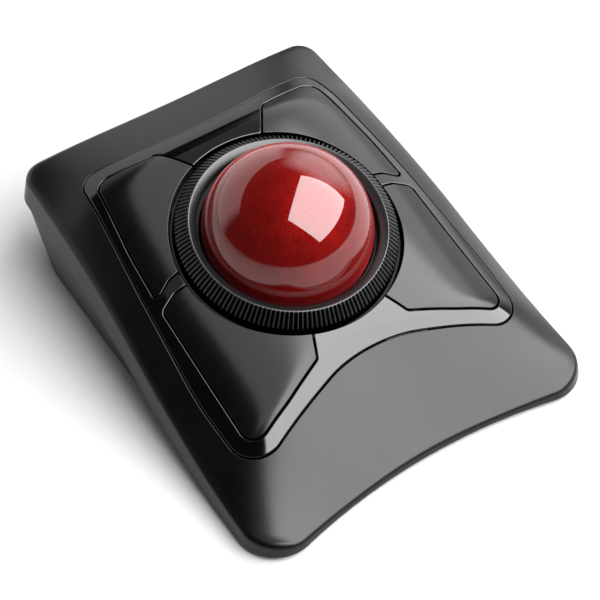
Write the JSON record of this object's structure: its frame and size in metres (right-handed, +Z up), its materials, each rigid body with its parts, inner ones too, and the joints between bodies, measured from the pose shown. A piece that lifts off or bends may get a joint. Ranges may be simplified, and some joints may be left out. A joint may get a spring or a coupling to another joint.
{
  "type": "trackball mouse",
  "caption": "Desktop pointing device with a large red ball, a knurled scroll ring round it, and four hinged corner buttons on a sloping black housing.",
  "frame": {"origin": "on the desk, under the centre of the object's bounding box", "axes": "+X to the user's right, +Y away from the user towards the high rear edge, +Z up"},
  "size_m": [0.1276, 0.1566, 0.0653],
  "materials": {
    "shell": "soft-touch satin",
    "panel": "high gloss black",
    "base": "fine matt",
    "button": "fine satin",
    "ring": "satin, knurled",
    "encoder": "plain",
    "glide": "low friction sheet",
    "spring_steel": "bright",
    "ball": "polished, pearl flake",
    "cup": "plain",
    "bearing": "polished ceramic",
    "lens": "clear moulding",
    "chip": "moulded",
    "board": "lacquered",
    "screw": "zinc plated",
    "frame": "plain",
    "shield": "tinned",
    "cell": "plain wrapped can",
    "door": "fine matt",
    "switch_case": "moulded",
    "slider": "plain",
    "plunger": "plain",
    "receiver": "plain",
    "foot": "smooth",
    "ribbon": "polyimide film"
  },
  "bodies": {
    "housing": {"top_shell": "shell", "trim_panel": "panel", "base_shell": "base", "ring_glide": "glide", "ring_retainer": "spring_steel", "ball_cup": "cup", "support_bearings": "bearing", "sensor_lens": "lens", "tracking_sensor": "chip", "sensor_board": "board", "sensor_screws": "screw", "inner_frame": "frame", "frame_screws": "screw", "cup_screws": "screw", "switch_board_front": "board", "switch_board_rear": "board", "switch_board_screws": "screw", "encoder_light_gate": "chip", "main_board": "board", "controller_chip": "chip", "radio_module": "shield", "board_screws": "screw", "battery_front": "cell", "battery_rear": "cell", "battery_contact_left": "spring_steel", "battery_contact_right": "spring_steel", "battery_springs": "spring_steel", "power_board": "board", "power_switch": "switch_case", "pairing_switch": "switch_case", "rubber_feet": "foot", "case_screws": "screw", "sensor_ribbon": "ribbon", "hinge_pin_rear_left": "spring_steel", "microswitch_rear_left": "switch_case", "hinge_pin_rear_right": "spring_steel", "microswitch_rear_right": "switch_case", "hinge_pin_front_left": "spring_steel", "microswitch_front_left": "switch_case", "hinge_pin_front_right": "spring_steel", "microswitch_front_right": "switch_case"},
    "ball": {"trackball": "ball"},
    "ring": {"scroll_ring": "ring", "encoder_ring": "encoder"},
    "button_rear_left": {"button_rear_left": "button"},
    "button_rear_right": {"button_rear_right": "button"},
    "button_front_left": {"button_front_left": "button"},
    "button_front_right": {"button_front_right": "button"},
    "plunger_rear_left": {"plunger_rear_left": "plunger"},
    "plunger_rear_right": {"plunger_rear_right": "plunger"},
    "plunger_front_left": {"plunger_front_left": "plunger"},
    "plunger_front_right": {"plunger_front_right": "plunger"},
    "door": {"battery_door": "door"},
    "power": {"power_slider": "slider"},
    "pairing": {"pairing_button": "slider"},
    "receiver": {"radio_receiver": "receiver"}
  },
  "joints": [
    {"name": "ball_roll", "type": "hinge", "parent": "housing", "child": "ball", "pos_m": [0, 0.00345, 0.0378], "axis": [1, 0, 0], "continuous": true},
    {"name": "ring_scroll", "type": "hinge", "parent": "housing", "child": "ring", "pos_m": [0, 0.00345, 0.0378], "axis": [0, -0.219, 0.9757], "continuous": true},
    {"name": "press_rear_left", "type": "hinge", "parent": "housing", "child": "button_rear_left", "pos_m": [-0.0402, 0.00517, 0.03009], "axis": [0, 0.9757, 0.219], "range_deg": [0, 1.5], "stiffness_Nm_per_rad": 0.9, "springref_deg": -0.69},
    {"name": "press_rear_right", "type": "hinge", "parent": "housing", "child": "button_rear_right", "pos_m": [0.0402, 0.00517, 0.03009], "axis": [0, -0.9757, -0.219], "range_deg": [0, 1.5], "stiffness_Nm_per_rad": 0.9, "springref_deg": -0.69},
    {"name": "press_front_left", "type": "hinge", "parent": "housing", "child": "button_front_left", "pos_m": [-0.0402, 0.00517, 0.03009], "axis": [0, 0.9757, 0.219], "range_deg": [0, 1.5], "stiffness_Nm_per_rad": 0.9, "springref_deg": -0.69},
    {"name": "press_front_right", "type": "hinge", "parent": "housing", "child": "button_front_right", "pos_m": [0.0402, 0.00517, 0.03009], "axis": [0, -0.9757, -0.219], "range_deg": [0, 1.5], "stiffness_Nm_per_rad": 0.9, "springref_deg": -0.69},
    {"name": "plunge_rear_left", "type": "slide", "parent": "housing", "child": "plunger_rear_left", "axis": [0, 0.219, -0.9757], "range_m": [0, 0.00043]},
    {"name": "plunge_rear_right", "type": "slide", "parent": "housing", "child": "plunger_rear_right", "axis": [0, 0.219, -0.9757], "range_m": [0, 0.00043]},
    {"name": "plunge_front_left", "type": "slide", "parent": "housing", "child": "plunger_front_left", "axis": [0, 0.219, -0.9757], "range_m": [0, 0.00043]},
    {"name": "plunge_front_right", "type": "slide", "parent": "housing", "child": "plunger_front_right", "axis": [0, 0.219, -0.9757], "range_m": [0, 0.00043]},
    {"name": "door_lift", "type": "slide", "parent": "housing", "child": "door", "axis": [0, 0, -1], "range_m": [0, 0.012]},
    {"name": "power_slide", "type": "slide", "parent": "housing", "child": "power", "axis": [-1, 0, 0], "range_m": [0, 0.0038]},
    {"name": "pairing_press", "type": "slide", "parent": "housing", "child": "pairing", "axis": [0, 0, 1], "range_m": [0, 0.0004], "stiffness_N_per_m": 400, "springref_m": -0.0005},
    {"name": "receiver_pull", "type": "slide", "parent": "housing", "child": "receiver", "axis": [0, 1, 0], "range_m": [0, 0.02]}
  ],
  "couplings": [
    {"joint": "plunge_rear_left", "follows": "press_rear_left", "m_per_rad": 0.0152},
    {"joint": "plunge_rear_right", "follows": "press_rear_right", "m_per_rad": 0.0152},
    {"joint": "plunge_front_left", "follows": "press_front_left", "m_per_rad": 0.0152},
    {"joint": "plunge_front_right", "follows": "press_front_right", "m_per_rad": 0.0152}
  ]
}
